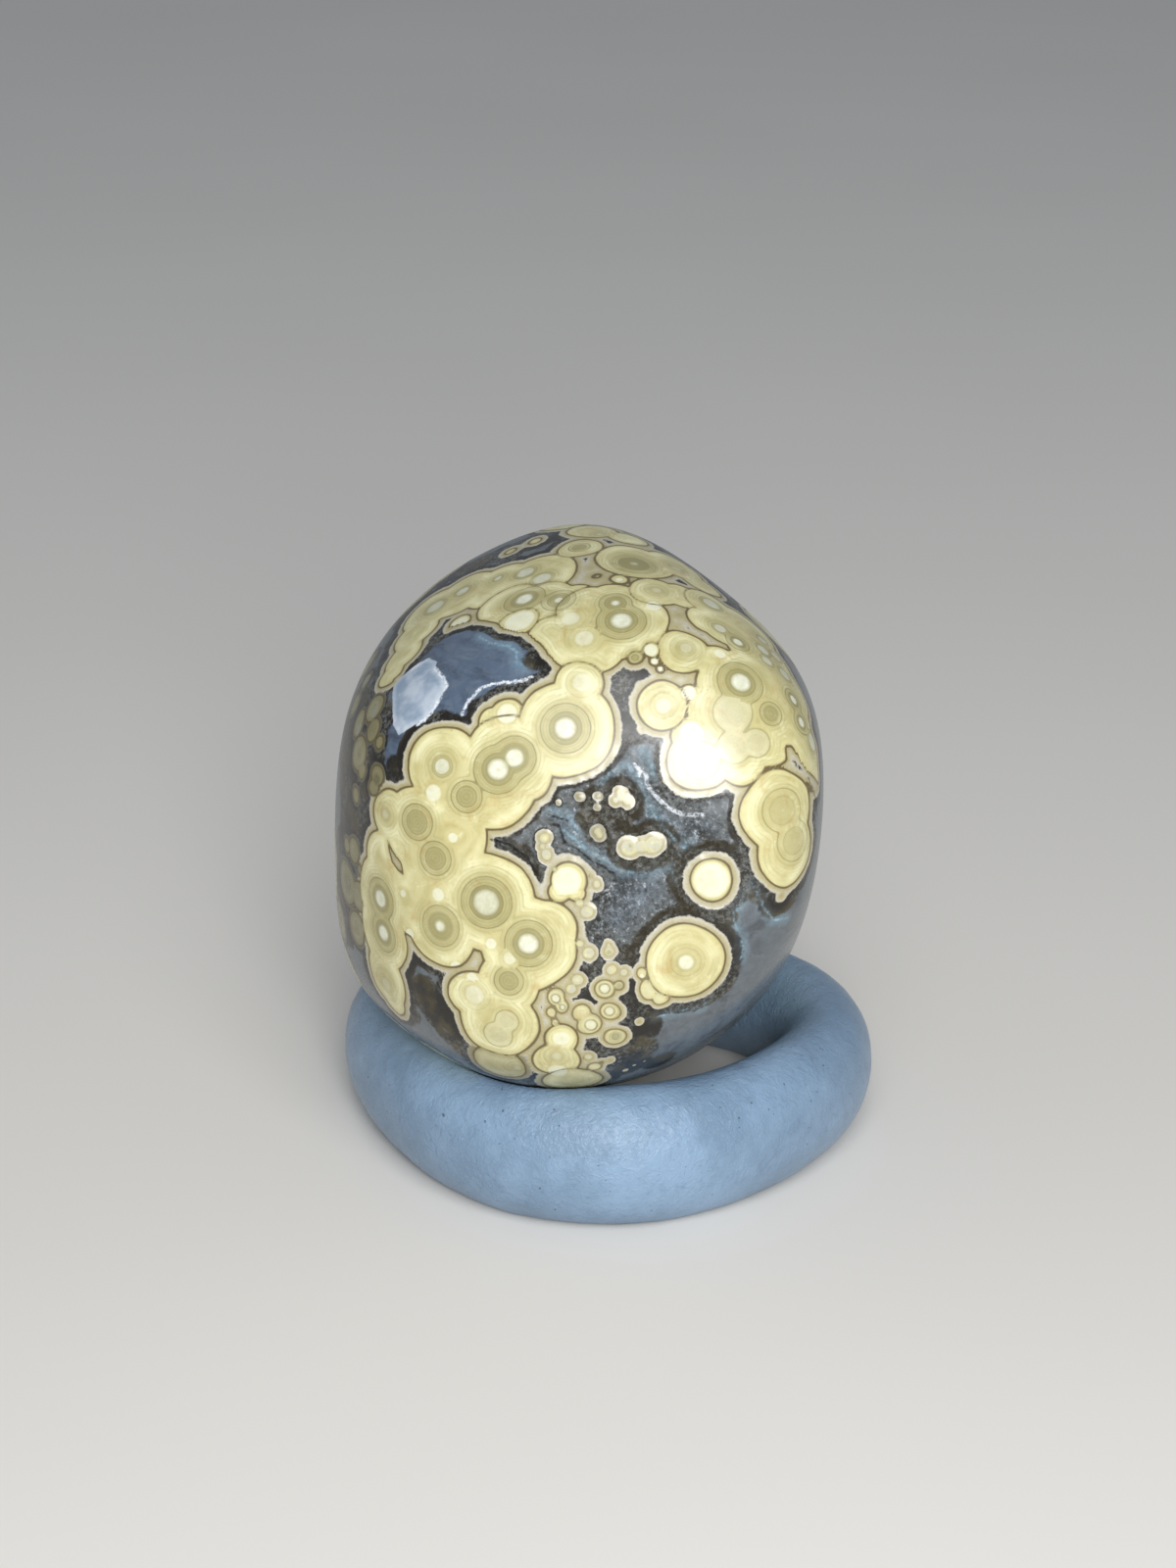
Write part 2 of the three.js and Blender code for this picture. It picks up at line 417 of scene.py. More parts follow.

# Lines on the stone: bright glints, partly pale quartz crystals and partly painted highlight where the polish
# catches the light, dark cracks and the light blue seams of the clear agate
glintLines = {
    "pocketLow": [(471, 728), (478, 715), (491, 702), (501, 698), (518, 696), (535, 694), (543, 690)],
    "jagged": [(651, 785), (659, 790), (661, 802), (672, 815), (685, 826), (698, 832), (717, 831)],
    "jaggedTop": [(648, 780), (654, 786), (652, 792)],
    "crackEnd": [(626, 902), (620, 911)],
    "quartzSide": [(444, 681), (453, 693), (457, 699), (451, 708), (444, 722), (435, 733), (425, 740)],
}
blueLines = {
    "rightLow": [(767, 900), (760, 911), (756, 922), (749, 932), (749, 943), (755, 956), (758, 970),
                 (756, 979)],
    "rightTip": [(767, 901), (775, 915), (780, 928), (790, 939), (803, 937)],
    "low": [(722, 1021), (716, 1028), (700, 1030), (682, 1034), (668, 1039)],
    "upper": [(616, 797), (628, 783), (640, 780), (649, 792)],
    "centre": [(649, 792), (660, 818), (672, 838), (686, 853), (697, 866), (708, 860)],
    "left": [(576, 848), (600, 868), (620, 879), (636, 889), (660, 890), (684, 885), (688, 897)],
    "leftTop": [(562, 826), (578, 832), (596, 852)],
    "pocketTop": [(489, 649), (500, 656), (519, 659), (528, 666), (527, 675), (535, 681)],
    "neckSide": [(655, 765), (664, 778), (668, 790)],
}
crackLines = {
    "upper": [(560, 831), (573, 836), (580, 838)],
    "middle": [(560, 841), (570, 842), (574, 854), (577, 861), (590, 867), (605, 879), (616, 885),
               (627, 892)],
    "end": [(627, 892), (627, 898), (623, 909), (612, 915), (603, 921)],
    "edge": [(824, 792), (829, 803), (833, 818), (834, 832)],
    "notch": [(500, 856), (520, 862), (538, 875), (548, 893)],
}

# Where the clear agate has small crystals in it and its polish is uneven: a photo pixel, and two mm
roughCentre = {"middle": (640, 885), "radius": 6.2, "fade": 2.2}

# The rest of the stone, which the photograph doesn't show, is grown by the same rules
hiddenGrowth = {
    "seed": 23,
    "triedPlaces": 2400,        # spread evenly over the whole stone, and used where it is hidden
    "leastTurned": 0.02,        # cosine by which the surface there at least faces away from the camera
    "roomGrowth": 12,           # mm of room for a lobe where the surface faces straight away
    "roomNeeded": 0.45,         # as a share of the lobe's radius
    "bodySpacing": 5.6,
    "lobeSpacing": 1.95,
    "lobeRadius": (0.95, 2.35),
    "eyeRing": (0.55, 1.2),
    "largestEye": 0.75,         # as a share of the lobe's radius
    "fullEyes": 0.8,            # share of the lobes with a full-size eye, where the others have a pearl
    "pearlSize": 0.4,           # as a share of a full-size eye
    "pocketShare": 0.22,        # share of the bodies that are open in the middle
    "pocketClear": 3.1,
    "pocketDiscs": 0.35,        # share of the places in such a middle that hold a small lone disc
    "discSize": 0.4,            # as a share of a lobe
    "discEye": 0.5,             # as a share of a full-size eye
}


def unit(vectors):
    return vectors / np.linalg.norm(vectors, axis=-1, keepdims=True)


def facing(azimuth, elevation):
    turn, rise = math.radians(azimuth), math.radians(elevation)
    return (math.sin(turn) * math.cos(rise), -math.cos(turn) * math.cos(rise), math.sin(rise))


def cameraAxes():
    pitch, roll = math.radians(photoCamera["pitch"]), math.radians(photoCamera["roll"])
    level = np.array((1.0, 0.0, 0.0))
    up = np.array((0.0, math.sin(pitch), math.cos(pitch)))
    ahead = np.array((0.0, math.cos(pitch), -math.sin(pitch)))
    right = math.cos(roll) * level + math.sin(roll) * up
    return right, math.cos(roll) * up - math.sin(roll) * level, ahead


cameraPlace = np.array(photoCamera["place"])
cameraRight, cameraUp, cameraAhead = cameraAxes()
photoWidth, photoHeight = photoCamera["imageSize"]
stonePlace = np.array(stone["place"])
flatNormals = np.array([facing(azimuth, elevation) for azimuth, elevation, _ in stone["flats"].values()])
flatDistances = np.array([distance for _, _, distance in stone["flats"].values()])


def pixelRays(pixels):
    pixels = np.asarray(pixels, float)
    across = (pixels[..., 0] - photoWidth / 2) / photoCamera["focalPixels"]
    rise = (photoHeight / 2 - pixels[..., 1]) / photoCamera["focalPixels"]
    return unit(cameraAhead + across[..., None] * cameraRight + rise[..., None] * cameraUp)


def pixelsOf(points):
    arms = points - cameraPlace
    depth = arms @ cameraAhead
    across = arms @ cameraRight / depth * photoCamera["focalPixels"]
    rise = arms @ cameraUp / depth * photoCamera["focalPixels"]
    return np.stack((photoWidth / 2 + across, photoHeight / 2 - rise), -1)


# How far the stone's surface is from its middle along each direction
def stoneReach(directions):
    share = np.maximum(directions @ flatNormals.T / flatDistances, 0)
    return (share ** stone["edgeSharpness"]).sum(-1) ** (-1 / stone["edgeSharpness"])


def stoneNormals(points):
    directions = unit(points - stonePlace)
    share = np.maximum(directions @ flatNormals.T / flatDistances, 0)
    return unit((share ** (stone["edgeSharpness"] - 1) / flatDistances) @ flatNormals)


# The point of the stone's surface that each photo pixel shows, or the nearest one beside its outline
def onStone(pixels):
    rays = pixelRays(pixels)
    steps = np.arange(*photoCamera["raySteps"])
    arms = cameraPlace + rays[:, None] * steps[:, None] - stonePlace
    above = np.linalg.norm(arms, axis=-1) - stoneReach(unit(arms))
    first = (above < 0).argmax(1)
    hit = above.min(1) < 0
    near = np.where(hit, steps[np.maximum(first - 1, 0)], steps[above.argmin(1)])
    far = np.where(hit, steps[first], near)
    for _ in range(12):
        middle = (near + far) / 2
        arm = cameraPlace + rays * middle[:, None] - stonePlace
        inside = np.linalg.norm(arm, axis=-1) < stoneReach(unit(arm))
        near, far = np.where(inside, near, middle), np.where(inside, middle, far)
    arm = cameraPlace + rays * far[:, None] - stonePlace
    directions = unit(arm)
    return stonePlace + directions * stoneReach(directions)[:, None]


# Slow waves in space, the same each run, for uneven outlines, hollows and dents
def unevenness(points, seed, length, waves=9):
    draws = np.random.default_rng(seed)
    turns = unit(draws.normal(size=(waves, 3))) * (2 * math.pi / length) * draws.uniform(0.7, 1.4, (waves, 1))
    starts = draws.uniform(0, 2 * math.pi, waves)
    return np.sin(points @ turns.T + starts).sum(-1) / math.sqrt(waves / 2)


def lineDistance(points, corners):
    nearest = np.full(len(points), np.inf)
    for start, end in zip(corners[:-1], corners[1:]):
        arm, side = points - start, end - start
        along = np.clip(arm @ side / max(side @ side, 1e-9), 0, 1)
        nearest = np.minimum(nearest, np.linalg.norm(arm - along[:, None] * side, axis=-1))
    return nearest


# Distance to an outline that is drawn over the photograph, negative inside it
def patchDistance(points, outline):
    corners = onStone(np.array(outline + outline[:1], float))
    distance = lineDistance(points, corners)
    places = pixelsOf(points)
    seen = ((cameraPlace - points) * stoneNormals(points)).sum(-1) > 0
    inside = np.zeros(len(points), bool)
    for (x0, y0), (x1, y1) in zip(outline, outline[1:] + outline[:1]):
        crosses = (places[:, 1] < y0) != (places[:, 1] < y1)
        edge = x0 + (places[:, 1] - y0) * (x1 - x0) / ((y1 - y0) or 1e-9)
        inside ^= crosses & (places[:, 0] < edge)
    return np.where(inside & seen, -distance, distance)


def spotDistance(points, spots):
    nearest = np.full(len(points), 9.0)
    places = onStone(np.array([spot[:2] for spot in spots.values()], float))
    for place, (_, _, radius) in zip(places, spots.values()):
        nearest = np.minimum(nearest, np.linalg.norm(points - place, axis=-1) - radius)
    return nearest


def spread(candidates, spacing, draws):
    order = list(range(len(candidates)))
    draws.shuffle(order)
    kept = []
    for index in order:
        if all(np.linalg.norm(candidates[index] - candidates[other]) > spacing for other in kept):
            kept.append(index)
    return candidates[kept]


# Bodies for the hidden sides: lists of lobes and eyes whose places are points in mm
def growHidden():
    draws = random.Random(hiddenGrowth["seed"])
    count = hiddenGrowth["triedPlaces"]
    rank = np.arange(count) + 0.5
    rise = 1 - 2 * rank / count
    turn = math.pi * (1 + math.sqrt(5)) * rank
    flat = np.sqrt(1 - rise * rise)
    directions = np.stack((np.cos(turn) * flat, np.sin(turn) * flat, rise), -1)
    points = stonePlace + directions * stoneReach(directions)[:, None]
    towards = (unit(cameraPlace - points) * stoneNormals(points)).sum(-1)
    turnedAway = towards < -hiddenGrowth["leastTurned"]
    hidden = points[turnedAway]
    depth = -towards[turnedAway] * hiddenGrowth["roomGrowth"]
    centres = spread(hidden, hiddenGrowth["bodySpacing"], draws)
    pockets = [draws.random() < hiddenGrowth["pocketShare"] for _ in centres]
    grown = [{"lobes": [], "eyes": []} for _ in centres]
    looks = ["target", "target", "bull", "disc", "broad", "bead", "rings", "pale"]
    for place in spread(hidden, hiddenGrowth["lobeSpacing"], draws):
        away = np.linalg.norm(centres - place, axis=-1)
        owner = int(away.argmin())
        radius = draws.uniform(*hiddenGrowth["lobeRadius"])
        ring = min(draws.uniform(*hiddenGrowth["eyeRing"]), radius * hiddenGrowth["largestEye"])
        look = draws.choice(looks)
        lone = draws.random()
        room = depth[np.linalg.norm(hidden - place, axis=-1).argmin()]
        if room < radius * hiddenGrowth["roomNeeded"]:
            continue
        if pockets[owner] and away[owner] < hiddenGrowth["pocketClear"]:
            if lone < hiddenGrowth["pocketDiscs"]:
                disc = (place, radius * hiddenGrowth["discSize"])
                eye = (place, ring * hiddenGrowth["discEye"], "milkBull")
                grown.append({"lobes": [disc], "eyes": [eye]})
            continue
        grown[owner]["lobes"].append((place, radius))
        if lone < hiddenGrowth["fullEyes"]:
            grown[owner]["eyes"].append((place, ring, look))
        else:
            grown[owner]["eyes"].append((place, ring * hiddenGrowth["pearlSize"], "pearl"))
    return [body for body in grown if body["lobes"]]


def seenBodies():
    grown = {}
    for name, body in bodies.items():
        lobePlaces = onStone(np.array([entry[:2] for entry in body["lobes"].values()], float))
        lobes = [(place, entry[2]) for place, entry in zip(lobePlaces, body["lobes"].values())]
        eyes = []
        if body["eyes"]:
            eyePlaces = onStone(np.array([entry[:2] for entry in body["eyes"].values()], float))
            eyes = [(place, *entry[2:]) for place, entry in zip(eyePlaces, body["eyes"].values())]
        traits = {trait: body[trait] for trait in ("tight", "pale", "dull") if trait in body}
        grown[name] = {"lobes": lobes, "eyes": eyes, **traits}
    return grown


# All that the stone's finish reads, at the given points (mm)
def stoneFields(points):
    wander = np.stack([unevenness(points, seed, stone["wavinessLength"]) for seed in (3, 4, 5)], -1)
    shifted = points + stone["waviness"] * wander
    seen = seenBodies()
    cuts = [(pocket["cuts"], patchDistance(shifted, pocket["outline"]))
            for pocket in (agatePocket, edgePocket, leftSliver)]
    line = np.full(len(points), 99.0)
    seam = np.full(len(points), 99.0)
    covered = np.zeros(len(points), bool)
    traits = {"pale": np.zeros(len(points)), "dull": np.zeros(len(points))}
    everyBody = [(None, body) for body in growHidden()] + list(seen.items())
    for name, body in everyBody:
        distance = np.full(len(points), 99.0)
        for place, radius in body["lobes"]:
            distance = np.minimum(distance, np.linalg.norm(shifted - place, axis=-1) - radius)
        for names, pocket in cuts:
            if name in names:
                distance = np.maximum(distance, -pocket)
        inside = distance < 0
        # Tight bodies have narrower rims
        distance = np.where(inside, distance, distance * body.get("tight", 1.0))
        owned = inside | (~covered & (distance < line))
        for trait, values in traits.items():
            values[owned] = body.get(trait, 0.0)
        line = np.where(inside, -distance, np.minimum(line, distance))
        # Unlike the edge, the seam also passes through 0 where one body meets another
        seam = np.where(inside | (distance < abs(seam)), distance, seam)
        covered |= inside
    fields = {"edge": np.where(covered, -line, line), "seam": np.clip(seam, -3, 3), **traits}

    away = np.full(len(points), 99.0)
    nearest = np.full(len(points), 99.0)
    size = np.ones(len(points))
    look = np.zeros((len(points), 4))
    for _, body in everyBody:
        for place, ring, name in body["eyes"]:
            distance = np.linalg.norm(points - place, axis=-1) - ring
            closer = distance < nearest
            nearest = np.where(closer, distance, nearest)
            size = np.where(closer, ring, size)
            look[closer] = eyeLooks[name]
            # A smooth minimum, so that the rings of close eyes run into one
            blend = np.clip(0.5 + (away - distance) / stone["eyeBlend"], 0, 1)
            away = away + (distance - away) * blend - stone["eyeBlend"] / 2 * blend * (1 - blend)
    fields["eyeAway"] = np.minimum(away, 6)
    fields["eyeSize"] = size
    for index, part in enumerate(("eyeMiddle", "eyeWhite", "eyeOlive", "eyeLine")):
        fields[part] = look[:, index]
    middle, size = onStone(np.array([roughCentre["middle"]], float))[0], roughCentre["radius"]
    distance = np.linalg.norm(shifted - middle, axis=-1)
    fields["rough"] = np.clip((size - distance) / roughCentre["fade"], 0, 1)
    fields["quartz"] = np.clip(patchDistance(points, agatePocket["quartz"]), -3, 3)
    fields["pocket"] = np.clip(cuts[0][1], -3, 3)
    fields["dark"] = np.minimum(spotDistance(shifted, darkSpots), 3)
    towardsCamera = (unit(cameraPlace - points) * stoneNormals(points)).sum(-1)
    fields["hidden"] = np.clip((0.1 - towardsCamera) / 0.3, 0, 1)
    for name, lines in (("glint", glintLines), ("crack", crackLines), ("blue", blueLines)):
        nearestLine = np.full(len(points), 9.0)
        for corners in lines.values():
            nearestLine = np.minimum(nearestLine, lineDistance(points, onStone(np.array(corners, float))))
        fields[name] = np.minimum(nearestLine, 3)
    return fields


# The mesh of a ball from six patches, with its points in whole numbers so that the patches share edges
def ballGrid(steps):
    side = np.arange(steps + 1)
    first, second = (grid.ravel() for grid in np.meshgrid(side, side, indexing="ij"))
    corner = np.arange(steps * (steps + 1)).reshape(steps, steps + 1)[:, :-1].ravel()
    square = np.stack((corner, corner + steps + 1, corner + steps + 2, corner + 1), -1)
    points, faces = [], []
    for axis in range(3):
        for end in (0, steps):
            patch = np.empty((len(first), 3), int)
            patch[:, axis] = end
            patch[:, (axis + 1) % 3] = first
            patch[:, (axis + 2) % 3] = second
            faces.append((square if end else square[:, ::-1]) + len(first) * len(points))
            points.append(patch)
    whole, place = np.unique(np.concatenate(points), axis=0, return_inverse=True)
    return whole, place.ravel()[np.concatenate(faces)]


def meshPiece(name, points, faces):
    mesh = bpy.data.meshes.new(name)
    mesh.from_pydata((points * mm).tolist(), [], faces.tolist())
    mesh.polygons.foreach_set("use_smooth", np.ones(len(mesh.polygons), bool))
    mesh.update()
    piece = bpy.data.objects.new(name, mesh)
    bpy.context.scene.collection.objects.link(piece)
    return piece


def giveField(piece, name, values):
    field = piece.data.attributes.new(name, "FLOAT", "POINT")
    field.data.foreach_set("value", values.astype(np.float32))


def insideBox(points, node):
    low, high = (np.array(corner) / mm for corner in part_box(node))
    return np.clip(points, low, high)


def makeStone():
    whole, faces = ballGrid(stone["meshSteps"])
    directions = unit(np.tan((whole / stone["meshSteps"] - 0.5) * math.pi / 2))
    towardsCamera = unit(cameraPlace - stonePlace)
    directions = unit(directions + stone["frontDensity"] * towardsCamera)
    points = stonePlace + directions * (stoneReach(directions) - stone["underCadSkin"])[:, None]
    fields = stoneFields(points)
    # The small crystals in the middle lie a little lower, and unevenly
    softness = fields["rough"] * np.clip(fields["edge"] / 0.5, 0, 1)
    wide, narrow = stone["hollowLengths"]
    hollows = 0.5 + 0.3 * unevenness(points, 71, wide) + 0.2 * unevenness(points, 72, narrow)
    points = points - directions * (stone["crystalHollows"] * softness * np.clip(hollows, 0, 1))[:, None]
    piece = meshPiece("polished_eye_agate", insideBox(points, "eye_agate"), faces)
    for name, values in fields.items():
        giveField(piece, name, values)
    return piece


# The ring: the same uneven circle and oval section as the solid, with shallow dents and a closer seat
ring = {
    "place": (-0.078, 0.455),
    "radius": 11.05,
    "halfWidth": 2.73,
    "halfHeight": 3.4,
    "pressed": 0.35,
    "waves": ((2, 0.0, -0.33), (3, 0.32, 0.49)),
    "widthLean": (-0.16, -0.04),
    "heightLean": (-0.06, -0.23),
    "turnSteps": 420,
    "sectionSteps": 150,
    "seatGap": 0.06,
    "dents": ((5.0, 0.05), (1.7, 0.022), (0.75, 0.008)),     # length and depth in mm
    "skinDepth": 0.02,         # mm under the solid's surface where there is no dent
    "leastDepth": 0.005,
}


def makeRing():
    turns = np.arange(ring["turnSteps"]) * 2 * math.pi / ring["turnSteps"]
    sections = np.arange(ring["sectionSteps"]) * 2 * math.pi / ring["sectionSteps"]
    turn, section = (grid.ravel() for grid in np.meshgrid(turns, sections, indexing="ij"))
    lean = np.stack((np.cos(turn), np.sin(turn)), -1)
    halfWidth = ring["halfWidth"] + lean @ ring["widthLean"]
    halfHeight = ring["halfHeight"] + lean @ ring["heightLean"]
    radius = ring["radius"] + np.cos(section) * halfWidth
    for waves, cosine, sine in ring["waves"]:
        radius = radius + cosine * np.cos(waves * turn) + sine * np.sin(waves * turn)
    height = halfHeight * (1 + np.sin(section)) - ring["pressed"]
    points = np.stack((radius * np.cos(turn), radius * np.sin(turn), height), -1)
    outward = np.stack((np.cos(section) * np.cos(turn), np.cos(section) * np.sin(turn), np.sin(section)), -1)
    depth = ring["skinDepth"]
    for index, (length, deepest) in enumerate(ring["dents"]):
        depth = depth + deepest * (0.5 + 0.3 * unevenness(points, 60 + index, length))
    points = points - outward * np.maximum(depth, ring["leastDepth"])[:, None]
    points[:, 2] = np.maximum(points[:, 2], 0)
    points[:, :2] += ring["place"]
    arms = points - stonePlace
    directions = unit(arms)
    reach = stoneReach(directions) + ring["seatGap"]
    pressedIn = np.linalg.norm(arms, axis=-1) < reach
    points[pressedIn] = (stonePlace + directions * reach[:, None])[pressedIn]
    across, around = ring["sectionSteps"], ring["turnSteps"]
    start = np.arange(around)[:, None] * across + np.arange(across)
    nextTurn = np.roll(start, -1, 0)
    faces = np.stack((start, nextTurn, np.roll(nextTurn, -1, 1), np.roll(start, -1, 1)), -1).reshape(-1, 4)
    return meshPiece("rolled_ring_stand", insideBox(points, "ring_stand"), faces)


# Shader maths as Python: a wire is one output of a node, and an expression on wires adds Math nodes
class Wire:
    def __init__(self, finish, socket):
        self.finish = finish
        self.socket = socket

    def maths(self, operation, first, second=0.0):
        return self.finish.node("ShaderNodeMath", {"operation": operation}, {0: first, 1: second})

    def __add__(self, other):
        return self.maths("ADD", self, other)

    def __radd__(self, other):
        return self.maths("ADD", other, self)

    def __sub__(self, other):
        return self.maths("SUBTRACT", self, other)

    def __rsub__(self, other):
        return self.maths("SUBTRACT", other, self)

    def __mul__(self, other):
        return self.maths("MULTIPLY", self, other)

    def __rmul__(self, other):
        return self.maths("MULTIPLY", other, self)

    def __truediv__(self, other):
        return self.maths("DIVIDE", self, other)

    def __pow__(self, other):
        return self.maths("POWER", self, other)

    def __abs__(self):
        return self.maths("ABSOLUTE", self)

    def atLeast(self, other):
        return self.maths("MAXIMUM", self, other)

    def atMost(self, other):
        return self.maths("MINIMUM", self, other)

    # A sine of the wire, from 0 to 1
    def bands(self):
        return self.maths("SINE", self) * 0.5 + 0.5


class Finish:
    def __init__(self, name):
        self.material = bpy.data.materials.new(name)
        self.material.use_nodes = True
        self.tree = self.material.node_tree
        self.tree.nodes.clear()
        place = self.node("ShaderNodeTexCoord", output="Object")
        self.place = self.node("ShaderNodeVectorMath", {"operation": "SCALE"}, {0: place, "Scale": 1 / mm})

    # Adds a node: its settings first, then the values or wires of its sockets
    def node(self, kind, settings=None, sockets=None, output=0):
        node = self.tree.nodes.new(kind)
        for name, value in (settings or {}).items():
            setattr(node, name, value)
        for name, value in (sockets or {}).items():
            if isinstance(value, Wire):
                self.tree.links.new(value.socket, node.inputs[name])
            else:
                node.inputs[name].default_value = value
        return Wire(self, node.outputs[output]) if len(node.outputs) else None

    def field(self, name):
        return self.node("ShaderNodeAttribute", {"attribute_name": name}, output="Fac")

    # Rises smoothly from 0 at low to 1 at high, or falls where low is the greater
    def rise(self, value, low, high):
        sockets = {"Value": value, "From Min": low, "From Max": high}
        return self.node("ShaderNodeMapRange", {"interpolation_type": "SMOOTHSTEP"}, sockets)

    def noise(self, perMm, detail=2.0, roughness=0.5, distortion=0.0, place=None):
        sockets = {"Vector": place or self.place, "Scale": perMm, "Detail": detail,
                   "Roughness": roughness, "Distortion": distortion}
        return self.node("ShaderNodeTexNoise", {}, sockets)

    # Noise round 0, of the given strength
    def jitter(self, strength, perMm, detail=2.0, roughness=0.5):
        return (self.noise(perMm, detail, roughness) - 0.5) * strength

    def mix(self, first, second, share):
        return self.node("ShaderNodeMix", {"data_type": "RGBA"}, {0: share, 6: first, 7: second}, 2)

    def bump(self, height, depthMm, strength=1.0, normal=None):
        sockets = {"Height": height, "Distance": depthMm * mm, "Strength": strength}
        if normal:
            sockets["Normal"] = normal
        return self.node("ShaderNodeBump", {}, sockets)

    def surface(self, sockets):
        shader = self.node("ShaderNodeBsdfPrincipled", {}, sockets)
        self.node("ShaderNodeOutputMaterial", {}, {"Surface": shader})
        return self.material


# A colour as it looks on a screen, from 0 to 255
def tone(red, green, blue):
    parts = [part / 255 for part in (red, green, blue)]
    return (*[part / 12.92 if part <= 0.04045 else ((part + 0.055) / 1.055) ** 2.4 for part in parts], 1.0)


agateTones = {
    "cream": tone(211, 203, 149),
    "creamDeep": tone(184, 173, 111),
    "creamPale": tone(242, 238, 192),
    "tan": tone(190, 146, 74),
    "olive": tone(148, 141, 92),
    "olivePale": tone(174, 168, 118),
    "oliveLine": tone(112, 103, 62),
    "eyeWhite": tone(236, 238, 216),
    "brownLine": tone(90, 73, 37),
    "rim": tone(176, 166, 122),
    "rimPale": tone(198, 195, 182),
    "margin": tone(26, 22, 15),
    "marginOuter": tone(64, 56, 32),
    "marginGrey": tone(104, 106, 102),
    "crumb": tone(190, 189, 168),
    # The dark olive that bodies are mixed towards is mostly painted shade, on the left flank and the
    # underside
    "dull": tone(70, 66, 44),
    "clear": tone(95, 102, 107),
    "clearPale": tone(127, 138, 147),
    "clearDark": tone(64, 68, 72),
    "milky": tone(150, 160, 168),
    "window": tone(86, 101, 121),
    "windowDark": tone(60, 70, 86),
    "blueLine": tone(150, 184, 200),
    "quartz": tone(140, 158, 178),
    "paleQuartzAndHighlight": tone(232, 238, 244),
    "crack": tone(14, 13, 12),
}

# Widths in mm across the layers that grew round each banded body, and between its bands
agateLayers = {
    "brownLine": 0.065,
    "rim": 0.37,
    "margin": 0.50,
    "fineRings": 0.17,
    "fineEdgeBands": 0.25,
    "broadBands": 2.2,          # how many, from an eye to the body's edge
    "roughness": 0.27,          # of the polish, with no unit
}


def bodyColour(finish, depth):
    tones = agateTones
    turn = 2 * math.pi
    wobble = finish.noise(1.0, 3) - 0.5
    away = finish.field("eyeAway") + finish.jitter(0.05, 3.5, 2)
    size = finish.field("eyeSize")
    olive = finish.field("eyeOlive")
    past = away.atLeast(0.0)

    # Broad soft bands, which take the shape of the eyes inside and of the body outside
    share = past / (past + depth + 0.05)
    broad = ((share * agateLayers["broadBands"] + wobble * 1.5) * turn).bands()
    blotch = finish.rise(finish.noise(0.75, 4, 0.6), 0.42, 0.68)
    colour = finish.mix(tones["cream"], tones["creamDeep"], broad * 0.55 * (1 - blotch * 0.6))
    nearEdge = finish.rise(depth, 1.0, 0.4) * finish.rise(depth, 0.08, 0.4)
    nearEdge = nearEdge * finish.rise(finish.noise(0.45, 3), 0.35, 0.6)
    colour = finish.mix(colour, tones["creamPale"], nearEdge * 0.8)
    curd = finish.rise(finish.noise(2.1, 4, 0.65, 0.6), 0.5, 0.72)
    colour = finish.mix(colour, tones["creamPale"], curd * blotch * 0.7)
    stain = finish.rise(finish.noise(0.6, 5, 0.65, 1.6), 0.54, 0.70)
    fleck = finish.rise(finish.noise(4.0, 3, 0.6), 0.64, 0.74)
    colour = finish.mix(colour, tones["tan"], stain * 0.36 + fleck * 0.28)

    # Fine lines that fade out round the eyes and along the edge
    fine = ((past / agateLayers["fineRings"] + wobble * 0.6) * turn).bands()
    fine = fine ** 2.0 * finish.rise(past, 1.15, 0.2) * finish.rise(finish.noise(0.9, 2), 0.3, 0.55)
    fine = fine * (0.25 + 0.75 * olive)
    along = ((depth / agateLayers["fineEdgeBands"] + wobble) * turn).bands()
    along = along ** 3.0 * finish.rise(depth, 1.1, 0.4) * finish.rise(finish.noise(0.6, 2), 0.45, 0.6)
    colour = finish.mix(colour, tones["olivePale"], (fine * 0.42 + along * 0.4).atMost(1.0))

    # The eyes: olive bands inside one thin ring, and a milky middle
    ripe = away / size + 1
    within = finish.rise(ripe, 1.01, 0.96)
    ripple = (away * (turn / 0.16)).bands() * 0.20
    inner = finish.rise(ripe, 0.72, 0.58)
    deep = (0.48 + inner * 0.45 + ripple) * olive * (0.8 + 0.4 * finish.noise(1.6, 3))
    colour = finish.mix(colour, tones["olive"], (deep * within).atMost(1.0))
    halo = finish.rise(past, 0.8, 0.0) * 0.34 * olive
    colour = finish.mix(colour, tones["olivePale"], halo * (1 - within))
    middle = finish.field("eyeMiddle")
    paleness = finish.rise(ripe - middle, 0.09, -0.15) * finish.field("eyeWhite")
    line = finish.field("eyeLine")
    ring = finish.rise(abs(away), 0.05, 0.012)
    innerRing = finish.rise(abs(ripe - 0.66) * size, 0.045, 0.01) * finish.rise(middle, 0.62, 0.5) * 0.6
    middleRing = finish.rise(abs(ripe - middle - 0.03) * size, 0.06, 0.01)
    middleRing = middleRing * finish.rise(middle, 0.05, 0.2) * 0.45
    outerRing = finish.rise(abs(away - 0.19), 0.035, 0.01) * 0.25
    lines = ((ring + innerRing + middleRing + outerRing) * line).atMost(1.0)
    lines = lines * (0.3 + 0.6 * finish.noise(1.5, 2))
    colour = finish.mix(colour, tones["oliveLine"], lines)
    milk = finish.rise(finish.noise(3.2, 4, 0.6), 0.25, 0.7) * 0.35 + 0.65
    return finish.mix(colour, tones["eyeWhite"], paleness * milk)


